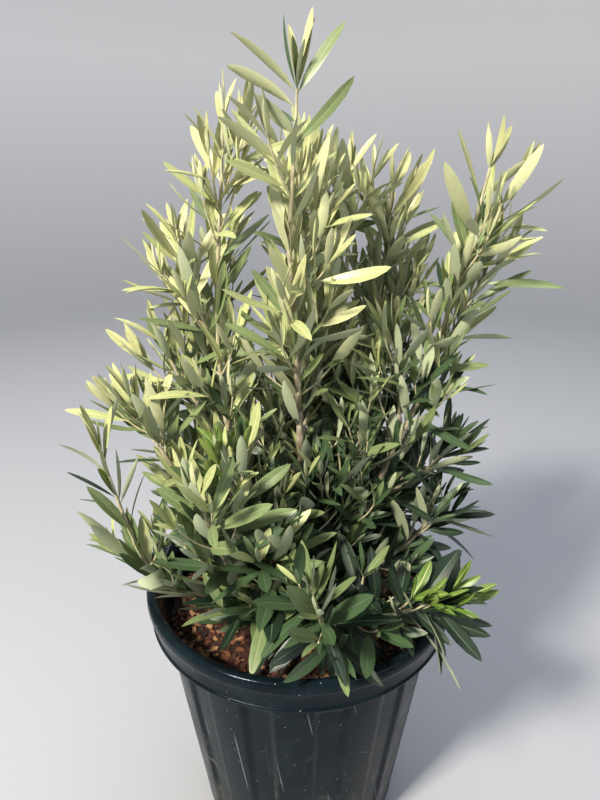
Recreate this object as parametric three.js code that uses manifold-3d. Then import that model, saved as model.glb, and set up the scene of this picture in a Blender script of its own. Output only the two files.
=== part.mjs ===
// A young olive grown as a bush in a round fluted nursery pot.
// Millimetres, +Z up. The origin is the middle of the pot's flat underside.

import * as THREE from "three";
import { mergeVertices } from "three/addons/utils/BufferGeometryUtils.js";
import Module from "manifold-3d";

const wasm = await Module();
wasm.setup();

const UP = new THREE.Vector3(0, 0, 1);
const GAP = 0.3;
const radians = THREE.MathUtils.degToRad;
const { lerp } = THREE.MathUtils;

// ---- Sizes of the pot and of the soil in it ----

const POT = {
  height: 270,
  lipRadius: 150,
  bandRadius: 145.5,
  bandFoot: 240,
  shoulderRadius: 134.6,
  footRadius: 103,
  wall: 5.5,
  floor: 5,
  panels: 13,
  panelSteps: 4,
  grooveSteps: 2,
  grooveDepth: 3,
  grooveFoot: 14,
  grooveTop: 227,
  firstPanel: -2,
};

const SOIL = {
  edgeLevel: 232,
  middleLevel: 240,
  flatRadius: 18,
  relief: 2.5,
  rings: 3,
  segments: 28,
};

// ---- Sizes of the wood ----

// The leader rises from the middle of the soil and leans a little to the front.
const TRUNK = {
  name: "leader",
  foot: [4, 4],
  head: [-8, -37, 592],
  bend: 0.45,
  radius: 4.6,
  tipRadius: 1.6,
  flare: 5.4,
  flareHeight: 0.08,
  faces: 8,
  rings: 10,
  shoot: 104,
  lean: [0.14, 0, 0],
  sides: 5,
};

// Each bough leaves the trunk at a share of its height, bends once and ends at its head. Shoot is the
// length of the leafy shoot that grows on from the head, lean is how far that shoot turns aside from
// the bough's own heading, and sides counts the shoots along the bough.
const BOUGHS = [
  {
    name: "left_tall",
    at: 0.14, radius: 3.6, shoot: 116, sides: 4,
    bend: [-80, 0, 320], head: [-69, 0, 560], lean: [0.06, 0, 0],
  },
  {
    name: "right_tall",
    at: 0.08, radius: 4.2, shoot: 112, sides: 4,
    bend: [96, -3, 370], head: [126, -8, 536], lean: [0.06, 0, 0],
  },
  {
    name: "right_middle",
    at: 0.17, radius: 3.2, shoot: 100, sides: 2,
    bend: [60, 40, 330], head: [73, 46, 528], lean: [0.04, 0, 0],
  },
  {
    name: "right_inner",
    at: 0.21, radius: 3, shoot: 104, sides: 1,
    bend: [40, 34, 330], head: [42, 36, 540], lean: [0, 0, 0],
  },
  {
    name: "back_middle",
    at: 0.1, radius: 3.4, shoot: 106, sides: 2,
    bend: [14, 64, 320], head: [8, 62, 550], lean: [0, 0, 0],
  },
  {
    name: "back_left",
    at: 0.06, radius: 3.4, shoot: 108, sides: 2,
    bend: [-70, 72, 310], head: [-76, 80, 476], lean: [0, 0, 0],
  },
  {
    name: "back_right",
    at: 0.05, radius: 3.4, shoot: 110, sides: 2,
    bend: [64, 98, 310], head: [70, 112, 440], lean: [0, 0, 0],
  },
  {
    name: "left_low",
    at: 0.1, radius: 2.9, shoot: 78, sides: 0,
    bend: [-84, -18, 345], head: [-112, -20, 390], lean: [0, 0, 0],
  },
  {
    name: "left_trailing",
    at: 0.02, radius: 2.6, shoot: 84, sides: 0,
    bend: [-120, -64, 250], head: [-140, -72, 350], lean: [-0.04, 0, 0],
  },
  {
    name: "front_left",
    at: 0.03, radius: 2.7, shoot: 96, sides: 2,
    bend: [-60, -84, 262], head: [-52, -81, 338], lean: [0, 0, 0],
  },
  {
    name: "front_right",
    at: 0.06, radius: 2.5, shoot: 66, sides: 1,
    bend: [24, -98, 268], head: [62, -104, 297], lean: [0.3, 0.05, -0.42],
  },
  {
    name: "front_middle",
    at: 0.02, radius: 2.4, shoot: 60, sides: 0,
    bend: [-16, -72, 262], head: [-22, -88, 304], lean: [0, 0, 0],
  },
  {
    name: "right_low",
    at: 0.09, radius: 2.7, shoot: 62, sides: 0,
    bend: [52, 4, 330], head: [98, 2, 362], lean: [0, 0, 0],
  },
  {
    name: "right_lowest",
    at: 0.03, radius: 2.6, shoot: 62, sides: 0,
    bend: [54, -24, 266], head: [96, -20, 306], lean: [0, 0, 0],
  },
  {
    name: "back_low",
    at: 0.04, radius: 2.7, shoot: 90, sides: 1,
    bend: [-14, 90, 264], head: [-20, 122, 330], lean: [0, 0, 0],
  },
];

const BOUGH = { tipRadius: 1.5, sideFrom: 0.16, sideTo: 0.84, faces: 5, rings: 6 };

// ---- Sizes of the leafy shoots ----

const SHOOT = {
  length: 106,
  lengthSway: 0.16,
  angleLow: 58,
  angleHigh: 14,
  turn: 137.5,
  lift: 0.5,
  topLift: 0.4,
  lowestSlope: 0.12,
  radius: 2.2,
  tipRadius: 1.5,
  faces: 3,
  rings: 3,
  twigRings: 2,
  samples: 8,
  topBare: 0.12,
  sideBare: 0.3,
  twigBare: 0.45,
  twigShare: 0.46,
  twigThickness: 0.8,
  twigAngle: 35,
  twigStations: [0.3, 0.52],
  clearance: 26,
  tries: 24,
};

const LEAF = {
  spacing: 26,
  length: 64,
  lengthSway: 0.12,
  widthShare: 0.28,
  thickness: 1.3,
  widest: -0.1,
  sink: 0.2,
  openBase: 46,
  openTip: 20,
  openSway: 8,
  pairTurn: 90,
  turnSway: 12,
  lift: 0.16,
  roll: 24,
  tipShrink: 0.34,
  faceLift: 1.2,
  lastShare: 0.985,
  apart: 6.2,
  fits: [
    { size: 1, turn: 0 },
    { size: 0.9, turn: 28 },
    { size: 0.9, turn: -28 },
    { size: 0.76, turn: 0 },
  ],
};

// How far leaves and twigs stay from a neighbour's space, the wood, the soil and the pot's lip.
const CLEAR = { space: 1.4, wood: 2.6, soil: 4, lipAbove: 4, lipInside: 14, lipOutside: 5 };

// ---- Small tools ----

// A number from 0 to 1 that depends only on the three whole numbers given.
function chance(plant, item, use) {
  let h = Math.imul(plant + 1, 73856093) ^ Math.imul(item + 1, 19349663) ^ Math.imul(use + 1, 83492791);
  h = Math.imul(h ^ (h >>> 15), 2246822519);
  h = Math.imul(h ^ (h >>> 13), 3266489917);
  return ((h ^ (h >>> 16)) >>> 0) / 4294967296;
}

// The same, spread evenly from -1 to 1.
function sway(plant, item, use) {
  return 2 * chance(plant, item, use) - 1;
}

function solidOf(geometry) {
  const bare = geometry.clone();
  bare.deleteAttribute("normal");
  bare.deleteAttribute("uv");
  const merged = mergeVertices(bare, 1e-4);
  return new wasm.Manifold(
    new wasm.Mesh({
      numProp: 3,
      vertProperties: merged.attributes.position.array,
      triVerts: new Uint32Array(merged.index.array),
    }),
  );
}

function geometryOf(solid) {
  const mesh = solid.getMesh();
  const geometry = new THREE.BufferGeometry();
  geometry.setAttribute("position", new THREE.BufferAttribute(mesh.vertProperties, 3));
  geometry.setIndex(new THREE.BufferAttribute(mesh.triVerts, 1));
  geometry.computeVertexNormals();
  return geometry;
}

// The largest body of a solid: scraps are dropped, and so is a hollow that the joins have sealed.
function largestBody(solid) {
  return solid.decompose().reduce((best, body) => (body.volume() > best.volume() ? body : best));
}

// A tapering rod bent along a route, closed at both ends.
function taperedRod(route, radiusAt, faces, rings) {
  const rod = new THREE.CylinderGeometry(1, 1, 1, faces, rings);
  const frames = route.computeFrenetFrames(rings);
  const points = rod.attributes.position;
  for (let i = 0; i < points.count; i += 1) {
    const ring = Math.round((points.getY(i) + 0.5) * rings);
    const radius = radiusAt(ring / rings);
    const place = route
      .getPointAt(ring / rings)
      .addScaledVector(frames.normals[ring], points.getX(i) * radius)
      .addScaledVector(frames.binormals[ring], -points.getZ(i) * radius);
    points.setXYZ(i, place.x, place.y, place.z);
  }
  return rod;
}

// ---- The pot ----

function bodyRadius(z) {
  return lerp(POT.footRadius, POT.shoulderRadius, z / (POT.bandFoot - 4));
}

// Fluted body with a taper, a band that stands out round the top, and a rolled lip.
function potGeometry() {
  const { lipRadius, bandRadius, bandFoot, height, wall, floor } = POT;
  const profile = [
    [0, 0],
    [POT.footRadius - 3, 0],
    [POT.footRadius, 3],
    [bodyRadius(POT.grooveFoot), POT.grooveFoot],
    [bodyRadius(POT.grooveFoot + 8), POT.grooveFoot + 8],
    [bodyRadius(POT.grooveTop - 6), POT.grooveTop - 6],
    [POT.shoulderRadius, bandFoot - 4],
    [bandRadius, bandFoot],
    [lipRadius - 2.5, height - 12],
    [lipRadius, height - 6],
    [lipRadius - 3, height],
    [lipRadius - 8, height - 1],
    [POT.shoulderRadius - wall, bandFoot - 3],
    [bodyRadius(floor) - wall, floor],
    [0, floor],
  ].map(([radius, z]) => new THREE.Vector2(radius, z));
  const steps = POT.panels * POT.panelSteps;
  const middleOfPanel = (POT.panelSteps + POT.grooveSteps - 1) / 2;
  const start = radians(POT.firstPanel - (360 / steps) * middleOfPanel);
  const wallGeometry = new THREE.LatheGeometry(profile, steps, start);
  const points = wallGeometry.attributes.position;
  for (let i = 0; i < points.count; i += 1) {
    const step = Math.floor(i / profile.length) % POT.panelSteps;
    const z = points.getY(i);
    const radius = Math.hypot(points.getX(i), points.getZ(i));
    const outside = radius > bodyRadius(z) - wall / 2;
    const fluted = step < POT.grooveSteps && z > POT.grooveFoot + 1 && z < POT.grooveTop - 1;
    if (!outside || !fluted) continue;
    const shrink = 1 - POT.grooveDepth / radius;
    points.setXYZ(i, points.getX(i) * shrink, z, points.getZ(i) * shrink);
  }
  return wallGeometry.rotateX(Math.PI / 2);
}

// ---- The soil ----

// A filling of coarse potting bark, a little heaped round the trunk, with a lumpy top.
function soilGeometry() {
  const clear = POT.wall + 2 * GAP;
  const foot = POT.floor + GAP;
  const profile = [new THREE.Vector2(0, foot), new THREE.Vector2(bodyRadius(foot) - clear, foot)];
  const firstRing = profile.length;
  for (let ring = 0; ring <= SOIL.rings; ring += 1) {
    const inward = ring / SOIL.rings;
    const radius = lerp(bodyRadius(SOIL.edgeLevel) - clear, SOIL.flatRadius, inward);
    const level = lerp(SOIL.edgeLevel, SOIL.middleLevel, Math.sqrt(inward));
    profile.push(new THREE.Vector2(radius, level));
  }
  const lastRing = profile.length - 1;
  profile.push(new THREE.Vector2(0, SOIL.middleLevel));
  const filling = new THREE.LatheGeometry(profile, SOIL.segments);
  const points = filling.attributes.position;
  for (let i = 0; i < points.count; i += 1) {
    const ring = i % profile.length;
    const segment = Math.floor(i / profile.length) % SOIL.segments;
    if (ring <= firstRing || ring >= lastRing) continue;
    points.setY(i, points.getY(i) + SOIL.relief * sway(segment, ring, 0));
  }
  return filling.rotateX(Math.PI / 2);
}

// ---- The wood ----

// A limb holds its route, its radius at each share of the route, its solid, and the solid grown by the gap.
function makeLimb(plan, route, radiusAt, faces, rings) {
  const grownAt = (share) => radiusAt(share) + GAP;
  return {
    plan,
    route,
    radiusAt,
    solid: solidOf(taperedRod(route, radiusAt, faces, rings)),
    grown: solidOf(taperedRod(route, grownAt, faces, rings)),
  };
}

function makeTrunk() {
  const foot = new THREE.Vector3(...TRUNK.foot, SOIL.middleLevel + GAP);
  const head = new THREE.Vector3(...TRUNK.head);
  const bend = foot.clone().addScaledVector(UP, foot.distanceTo(head) * TRUNK.bend);
  const route = new THREE.QuadraticBezierCurve3(foot, bend, head);
  const flareAt = (share) => TRUNK.flare * Math.exp(-share / TRUNK.flareHeight);
  const radiusAt = (share) => lerp(TRUNK.radius, TRUNK.tipRadius, share) + flareAt(share);
  return makeLimb(TRUNK, route, radiusAt, TRUNK.faces, TRUNK.rings);
}

// A bough starts inside the trunk and is cut clear of it and of the boughs made before it.
function makeBough(plan, earlier) {
  const start = earlier[0].route.getPoint(plan.at);
  const head = new THREE.Vector3(...plan.head);
  const route = new THREE.QuadraticBezierCurve3(start, new THREE.Vector3(...plan.bend), head);
  const radiusAt = (share) => lerp(plan.radius, BOUGH.tipRadius, share);
  const bough = makeLimb(plan, route, radiusAt, BOUGH.faces, BOUGH.rings);
  for (const { grown } of earlier) bough.solid = largestBody(bough.solid.subtract(grown));
  return bough;
}

// ---- The leafy shoots ----

// A shoot sets out along heading and turns towards the light.
function shootRoute(start, heading, length, lift) {
  const turned = heading.clone().lerp(UP, lift).normalize();
  const bend = start.clone().addScaledVector(heading, length / 2);
  const end = bend.clone().addScaledVector(turned, length / 2);
  return new THREE.QuadraticBezierCurve3(start, bend, end);
}

// The direction that stands off a line by open degrees, turned round it by turn degrees.
function branchOff(line, open, turn) {
  const reference = Math.abs(line.x) < 0.8 ? new THREE.Vector3(1, 0, 0) : new THREE.Vector3(0, 1, 0);
  const side = new THREE.Vector3().crossVectors(line, reference).normalize();
  const across = new THREE.Vector3().crossVectors(line, side);
  const radial = side.multiplyScalar(Math.cos(radians(turn)));
  radial.addScaledVector(across, Math.sin(radians(turn)));
  return radial.multiplyScalar(Math.sin(radians(open))).addScaledVector(line, Math.cos(radians(open)));
}

function pointsAlong(route, count = SHOOT.samples) {
  return Array.from({ length: count + 1 }, (_, i) => route.getPoint(i / count));
}

// The points along a shoot that are well clear of the wood that it grows from.
function outerPoints(route) {
  return pointsAlong(route).slice(3);
}

function nearest(point, places) {
  return Math.min(...places.map((place) => place.distanceTo(point)));
}

// Balls that fill the limbs, to keep shoots and leaves clear of the wood.
function limbBalls(limbs) {
  return limbs.flatMap(({ route, radiusAt }) => {
    const count = Math.ceil(route.getLength() / 5);
    return pointsAlong(route, count).map((centre, i) => ({ centre, radius: radiusAt(i / count) }));
  });
}

// Of the directions round a limb, in steps of the golden angle, the first whose shoot is clear of all else.
function freeShoot(host, share, length, firstTurn, balls, spines) {
  const start = host.route.getPoint(share);
  const line = host.route.getTangent(share);
  let best = { room: -Infinity };
  for (let attempt = 0; attempt < SHOOT.tries && best.room < SHOOT.clearance; attempt += 1) {
    const angle = lerp(SHOOT.angleLow, SHOOT.angleHigh, share);
    const heading = branchOff(line, angle, firstTurn + attempt * SHOOT.turn);
    heading.setZ(Math.max(heading.z, SHOOT.lowestSlope)).normalize();
    const route = shootRoute(start, heading, length, SHOOT.lift);
    const outer = outerPoints(route);
    const toWood = Math.min(...balls.map(({ centre, radius }) => nearest(centre, outer) - radius));
    const toShoots = Math.min(...spines.flat().map((place) => nearest(place, outer)));
    const room = Math.min(toWood, toShoots);
    if (room > best.room) best = { room, route };
  }
  return best.route;
}

// One mass grows on from the head of each limb, and some grow along it.
function planMasses(limbs, balls) {
  const masses = limbs.map((host) => {
    const onward = host.route.getTangent(1);
    const start = host.route.getPoint(1).addScaledVector(onward, GAP);
    const heading = onward.clone().add(new THREE.Vector3(...host.plan.lean)).normalize();
    const length = host.plan.shoot;
    const route = shootRoute(start, heading, length, SHOOT.topLift);
    return { name: host.plan.name + "_top", host, route, length, bare: SHOOT.topBare };
  });
  const spines = masses.map(({ route }) => pointsAlong(route));
  limbs.forEach((host, order) => {
    const { name, sides } = host.plan;
    for (let side = 0; side < sides; side += 1) {
      const share = lerp(BOUGH.sideFrom, BOUGH.sideTo, sides > 1 ? side / (sides - 1) : 0.5);
      const length = SHOOT.length * (1 + SHOOT.lengthSway * sway(order, side, 6));
      const route = freeShoot(host, share, length, 360 * chance(order, side, 7), balls, spines);
      masses.push({ name: name + "_side_" + (side + 1), host, route, length, bare: SHOOT.sideBare });
      spines.push(pointsAlong(route).slice(1));
    }
  });
  return { masses, spines };
}

// ---- Leaves ----

// Pairs of leaves along a twig, each pair crossing the last, smaller and closer to the twig at its tip.
function leavesAlong(route, length, own, twig, bare) {
  const pairs = Math.max(1, Math.round((length * (1 - bare)) / LEAF.spacing));
  const firstTurn = 360 * chance(own, twig, 2);
  const leaves = [];
  for (let pair = 0; pair <= pairs; pair += 1) {
    const share = lerp(bare, LEAF.lastShare, pair / pairs);
    const fullSize = LEAF.length * (1 - LEAF.tipShrink * share * share);
    for (const half of [0, 1]) {
      const item = twig * 100 + pair * 2 + half;
      leaves.push({
        base: route.getPoint(share),
        line: route.getTangent(share),
        open: lerp(LEAF.openBase, LEAF.openTip, share) + LEAF.openSway * sway(own, item, 1),
        turn: firstTurn + pair * LEAF.pairTurn + half * 180 + LEAF.turnSway * sway(own, item, 3),
        roll: LEAF.roll * sway(own, item, 4),
        size: fullSize * (1 + LEAF.lengthSway * sway(own, item, 5)),
      });
    }
  }
  return leaves;
}

// The directions of one leaf: along it, across it, and out of its upper face, which looks up and tipward.
function leafFrame({ line, open, turn, roll }) {
  const along = branchOff(line, open, turn).lerp(UP, LEAF.lift).normalize();
  const face = line.clone().addScaledVector(UP, LEAF.faceLift);
  face.addScaledVector(along, -face.dot(along)).normalize();
  face.applyAxisAngle(along, radians(roll));
  return { along, face, across: new THREE.Vector3().crossVectors(face, along) };
}

// A pointed blade, flat above, with a keel below.
function leafBlade(leaf) {
  const { along, across, face } = leafFrame(leaf);
  const outline = [new THREE.Vector2(0, -1), new THREE.Vector2(1, LEAF.widest), new THREE.Vector2(0, 1)];
  const blade = new THREE.LatheGeometry(outline, 3);
  const place = new THREE.Matrix4().makeBasis(
    across.multiplyScalar((leaf.size * LEAF.widthShare) / Math.sqrt(3)),
    along.clone().multiplyScalar(leaf.size / 2),
    face.multiplyScalar(-LEAF.thickness / 1.5),
  );
  place.setPosition(leaf.base.clone().addScaledVector(along, leaf.size / 2 - LEAF.sink));
  return blade.applyMatrix4(place);
}

// ---- Putting the plant together ----

const limbs = [makeTrunk()];
for (const plan of BOUGHS) limbs.push(makeBough(plan, limbs));
const grownWood = wasm.Manifold.union(limbs.map(({ grown }) => grown));
const balls = limbBalls(limbs);
const { masses, spines } = planMasses(limbs, balls);

// A point is in a mass's space if that mass's shoot is the nearest, and it is clear of wood, pot and soil.
function inSpace(point, own) {
  const reach = nearest(point, spines[own]) + CLEAR.space;
  if (spines.some((spine, other) => other !== own && nearest(point, spine) < reach)) return false;
  if (balls.some(({ centre, radius }) => centre.distanceTo(point) < radius + CLEAR.wood)) return false;
  const fromAxis = Math.hypot(point.x, point.y);
  if (fromAxis < POT.lipRadius - CLEAR.lipInside) return point.z > SOIL.middleLevel + CLEAR.soil;
  return point.z > POT.height + CLEAR.lipAbove || fromAxis > POT.lipRadius + CLEAR.lipOutside;
}

// Points along the middle of a leaf, and one on each edge at its widest.
function leafSpots(leaf) {
  const { along, across } = leafFrame(leaf);
  const spotAt = (share) => leaf.base.clone().addScaledVector(along, leaf.size * share);
  const spots = [0.25, 0.5, 0.75, 1].map(spotAt);
  const half = (leaf.size * LEAF.widthShare) / 2;
  for (const edge of [-half, half]) spots.push(spots[1].clone().addScaledVector(across, edge));
  return spots;
}

// The leaf as it would grow, or turned and smaller so that it fits among those placed, or nothing.
function fittedLeaf(leaf, own, placed) {
  return LEAF.fits
    .map(({ size, turn }) => ({ ...leaf, size: leaf.size * size, turn: leaf.turn + turn }))
    .find((each) => {
      const spots = leafSpots(each);
      if (placed.some((spot) => nearest(spot, spots) < LEAF.apart)) return false;
      return spots.every((spot) => inSpace(spot, own));
    });
}

function massSolid({ route, length, bare }, own) {
  const radiusAt = (share) => lerp(SHOOT.radius, SHOOT.tipRadius, share);
  const parts = [solidOf(taperedRod(route, radiusAt, SHOOT.faces, SHOOT.rings))];
  const leaves = leavesAlong(route, length, own, 0, bare);
  SHOOT.twigStations.forEach((share, index) => {
    const heading = branchOff(route.getTangent(share), SHOOT.twigAngle, 360 * chance(own, index, 8));
    const twigLength = length * SHOOT.twigShare;
    const twig = shootRoute(route.getPoint(share), heading, twigLength, SHOOT.topLift);
    if (!outerPoints(twig).every((point) => inSpace(point, own))) return;
    const twigRadiusAt = (along) => radiusAt(along) * SHOOT.twigThickness;
    parts.push(solidOf(taperedRod(twig, twigRadiusAt, SHOOT.faces, SHOOT.twigRings)));
    leaves.push(...leavesAlong(twig, twigLength, own, index + 1, SHOOT.twigBare));
  });
  const placed = [];
  for (const leaf of leaves) {
    const fitted = fittedLeaf(leaf, own, placed);
    if (!fitted) continue;
    placed.push(...leafSpots(fitted));
    parts.push(solidOf(leafBlade(fitted)));
  }
  return largestBody(wasm.Manifold.union(parts).subtract(grownWood));
}

// ---- Materials and the finished group ----

const MATERIALS = {
  pot: new THREE.MeshStandardMaterial({ color: 0x2b3338, roughness: 0.45, metalness: 0 }),
  soil: new THREE.MeshStandardMaterial({ color: 0x4a2c1d, roughness: 0.95, metalness: 0 }),
  bark: new THREE.MeshStandardMaterial({ color: 0x9a9182, roughness: 0.85, metalness: 0 }),
  leaf: new THREE.MeshStandardMaterial({ color: 0x7c8a5a, roughness: 0.55, metalness: 0 }),
};

const olive = new THREE.Group();

function addNode(name, geometry, material) {
  const node = new THREE.Mesh(geometry, material);
  node.name = name;
  olive.add(node);
}

addNode("pot", potGeometry(), MATERIALS.pot);
addNode("soil", soilGeometry(), MATERIALS.soil);
limbs.forEach(({ plan, solid }, order) => {
  addNode(order === 0 ? "trunk" : "bough_" + plan.name, geometryOf(solid), MATERIALS.bark);
});
masses.forEach((mass, own) => {
  addNode("foliage_" + mass.name, geometryOf(massSolid(mass, own)), MATERIALS.leaf);
});

export default olive;
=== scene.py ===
import math

import bpy
import numpy as np
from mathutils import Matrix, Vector, noise


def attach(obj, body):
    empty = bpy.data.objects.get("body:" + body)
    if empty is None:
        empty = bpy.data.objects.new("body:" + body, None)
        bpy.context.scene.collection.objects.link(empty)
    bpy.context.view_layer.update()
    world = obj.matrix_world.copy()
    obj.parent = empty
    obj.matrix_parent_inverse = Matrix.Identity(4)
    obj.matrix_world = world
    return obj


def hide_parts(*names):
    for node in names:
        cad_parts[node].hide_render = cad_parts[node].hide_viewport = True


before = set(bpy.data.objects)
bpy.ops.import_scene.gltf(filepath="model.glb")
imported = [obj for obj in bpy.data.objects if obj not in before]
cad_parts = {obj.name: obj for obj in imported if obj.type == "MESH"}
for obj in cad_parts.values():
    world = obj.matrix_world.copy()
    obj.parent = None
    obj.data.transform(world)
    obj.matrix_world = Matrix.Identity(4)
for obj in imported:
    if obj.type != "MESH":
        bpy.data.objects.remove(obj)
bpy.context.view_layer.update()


# ---- Camera ----
# Stands half a metre in front of the plant and looks down on the pot at 20 degrees.

FRAME_HEIGHT_PX = 800
FOCAL_LENGTH_PX = 601
SENSOR = 36
LOOKS_DOWN = 20.31

camera = bpy.data.objects.new("camera", bpy.data.cameras.new("camera"))
bpy.context.scene.collection.objects.link(camera)
camera.data.sensor_width = SENSOR
camera.data.lens = SENSOR * FOCAL_LENGTH_PX / FRAME_HEIGHT_PX
camera.data.clip_start = 0.01
camera.location = (0.0005, -0.5079, 0.6377)
camera.rotation_euler = (math.radians(90 - LOOKS_DOWN), 0, 0)
bpy.context.scene.camera = camera


# ---- Pot ----
# A 12 litre nursery pot, injection moulded in black polypropylene: a rolled lip, a plain band
# with a bead at its foot, and a tapered body with 13 raised panels that stiffen the thin wall.

POT_HEIGHT = 0.270
LIP_RADIUS = 0.150
BAND_RADIUS = 0.1455
BAND_FOOT = 0.240
SHOULDER_RADIUS = 0.1346
FOOT_RADIUS = 0.103
POT_WALL = 0.0055
POT_FLOOR = 0.005
PANELS = 13
FIRST_PANEL = math.radians(-2)
PANEL_HALF_TURN = math.radians(8.4)
PANEL_EDGE_TURN = math.radians(1.3)
PANEL_RELIEF = 0.003
PANEL_FOOT = 0.014
PANEL_TOP = 0.227
PANEL_END = 0.008
POT_SEGMENTS = PANELS * 30
BODY_RINGS = 60


def body_radius(height):
    """Outside radius of the pot's tapered body."""
    share = height / (BAND_FOOT - 0.004)
    return FOOT_RADIUS + (SHOULDER_RADIUS - FOOT_RADIUS) * share


def rounded(corners, steps=4):
    """The points of a profile of (radius, height, rounding), with a short curve at each corner."""
    points = []
    for i, (radius, height, rounding) in enumerate(corners):
        corner = np.array((radius, height))
        if rounding == 0:
            points.append(corner)
            continue
        ends = []
        for other in (corners[i - 1], corners[i + 1]):
            way = np.array(other[:2]) - corner
            ends.append(corner + way * min(0.5, rounding / np.linalg.norm(way)))
        for share in np.linspace(0, 1, steps + 1):
            first = ends[0] * (1 - share) + corner * share
            second = corner * (1 - share) + ends[1] * share
            points.append(first * (1 - share) + second * share)
    return np.array(points)


def smooth_step(low, high, value):
    share = np.clip((value - low) / (high - low), 0, 1)
    return share * share * (3 - 2 * share)


def new_piece(name, data):
    """An object at the origin, for a light or for a mesh whose place is in its points."""
    piece = bpy.data.objects.new(name, data)
    bpy.context.scene.collection.objects.link(piece)
    return piece


def turned(name, profile, segments, relief=None):
    """A closed solid of revolution round Z. Relief is how far each of its points moves outward."""
    turns = np.arange(segments) * 2 * math.pi / segments
    radius = np.repeat(profile[1:-1, 0][:, None], segments, 1)
    height = np.repeat(profile[1:-1, 1][:, None], segments, 1)
    turn = np.repeat(turns[None, :], len(profile) - 2, 0)
    if relief:
        radius = radius + relief(radius, height, turn)
    rings = np.stack([radius * np.sin(turn), -radius * np.cos(turn), height], 2)
    ends = np.array([(0, 0, profile[0, 1]), (0, 0, profile[-1, 1])])
    vertices = np.concatenate([rings.reshape(-1, 3), ends])
    first_end, last_end = len(vertices) - 2, len(vertices) - 1
    top = (len(profile) - 3) * segments
    faces = []
    for j in range(segments):
        k = (j + 1) % segments
        faces.append((first_end, k, j))
        faces.append((last_end, top + j, top + k))
        for low in range(0, top, segments):
            high = low + segments
            faces.append((low + j, low + k, high + k, high + j))
    mesh = bpy.data.meshes.new(name)
    mesh.from_pydata(vertices.tolist(), [], faces)
    mesh.shade_smooth()
    return new_piece(name, mesh)


def panel_relief(radius, height, turn):
    """Presses in the grooves between the panels, which fade out at the panels' ends."""
    spacing = 2 * math.pi / PANELS
    from_middle = (turn - FIRST_PANEL) % spacing
    from_middle = np.minimum(from_middle, spacing - from_middle)
    inner, outer = PANEL_HALF_TURN - PANEL_EDGE_TURN, PANEL_HALF_TURN + PANEL_EDGE_TURN
    groove = smooth_step(inner, outer, from_middle)
    groove = groove * smooth_step(PANEL_FOOT, PANEL_FOOT + PANEL_END, height)
    groove = groove * (1 - smooth_step(PANEL_TOP - PANEL_END, PANEL_TOP, height))
    outside = radius > body_radius(height) - POT_WALL / 2
    return -PANEL_RELIEF * groove * outside


body = [(body_radius(z), z, 0) for z in np.linspace(0.008, BAND_FOOT - 0.008, BODY_RINGS)]
corners = [
    (0, 0, 0),
    (0.060, 0, 0),
    (FOOT_RADIUS, 0, 0.004),
    *body,
    (SHOULDER_RADIUS, BAND_FOOT - 0.003, 0.002),
    (BAND_RADIUS - 0.001, BAND_FOOT - 0.003, 0.0012),
    (BAND_RADIUS + 0.0014, BAND_FOOT - 0.001, 0.001),
    (BAND_RADIUS + 0.0012, BAND_FOOT + 0.001, 0.001),
    (BAND_RADIUS, BAND_FOOT + 0.002, 0.001),
    (LIP_RADIUS - 0.0032, POT_HEIGHT - 0.014, 0.002),
    (LIP_RADIUS, POT_HEIGHT - 0.011, 0.003),
    (LIP_RADIUS, POT_HEIGHT, 0.0055),
    (LIP_RADIUS - 0.0088, POT_HEIGHT, 0.004),
    (SHOULDER_RADIUS - POT_WALL + 0.005, POT_HEIGHT - 0.014, 0.006),
    (SHOULDER_RADIUS - POT_WALL, BAND_FOOT - 0.006, 0.003),
    (body_radius(POT_FLOOR) - POT_WALL, POT_FLOOR, 0.003),
    (0, POT_FLOOR, 0),
]
pot_profile = rounded(corners)
pot = turned("pot_body", pot_profile, POT_SEGMENTS, panel_relief)


def linear(hex_colour):
    """An sRGB hex colour as the linear RGBA that shaders take."""
    parts = [int(hex_colour[i : i + 2], 16) / 255 for i in (1, 3, 5)]
    curve = [c / 12.92 if c <= 0.04045 else ((c + 0.055) / 1.055) ** 2.4 for c in parts]
    return (*curve, 1)


def add(tree, kind, inputs=(), out=0, stops=(), **settings):
    """Adds a node with its settings and links, and gives one of its outputs.

    An input is a constant, or the output of another node. Stops are those of a colour ramp."""
    node = tree.nodes.new(kind)
    for name, value in settings.items():
        setattr(node, name, value)
    for name, value in dict(inputs).items():
        if isinstance(value, bpy.types.NodeSocket):
            tree.links.new(value, node.inputs[name])
        else:
            node.inputs[name].default_value = value
    for index, (place, colour) in enumerate(stops):
        elements = node.color_ramp.elements
        element = elements[index] if index < 2 else elements.new(place)
        element.position = place
        element.color = linear(colour)
    return node.outputs[out]


def new_material(name, **inputs):
    """A material, its tree, its shader, and the object coordinates to place patterns by."""
    material = bpy.data.materials.new(name)
    material.use_nodes = True
    tree = material.node_tree
    shader = tree.nodes["Principled BSDF"]
    for key, value in inputs.items():
        shader.inputs[key.replace("_", " ")].default_value = value
    return material, tree, shader, add(tree, "ShaderNodeTexCoord", out="Object")


def surface(tree, shader, colour, height, strength, distance):
    """Gives a shader its colour and a fine relief."""
    tree.links.new(colour, shader.inputs["Base Color"])
    bump = {"Height": height, "Strength": strength, "Distance": distance}
    tree.links.new(add(tree, "ShaderNodeBump", bump), shader.inputs["Normal"])


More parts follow.
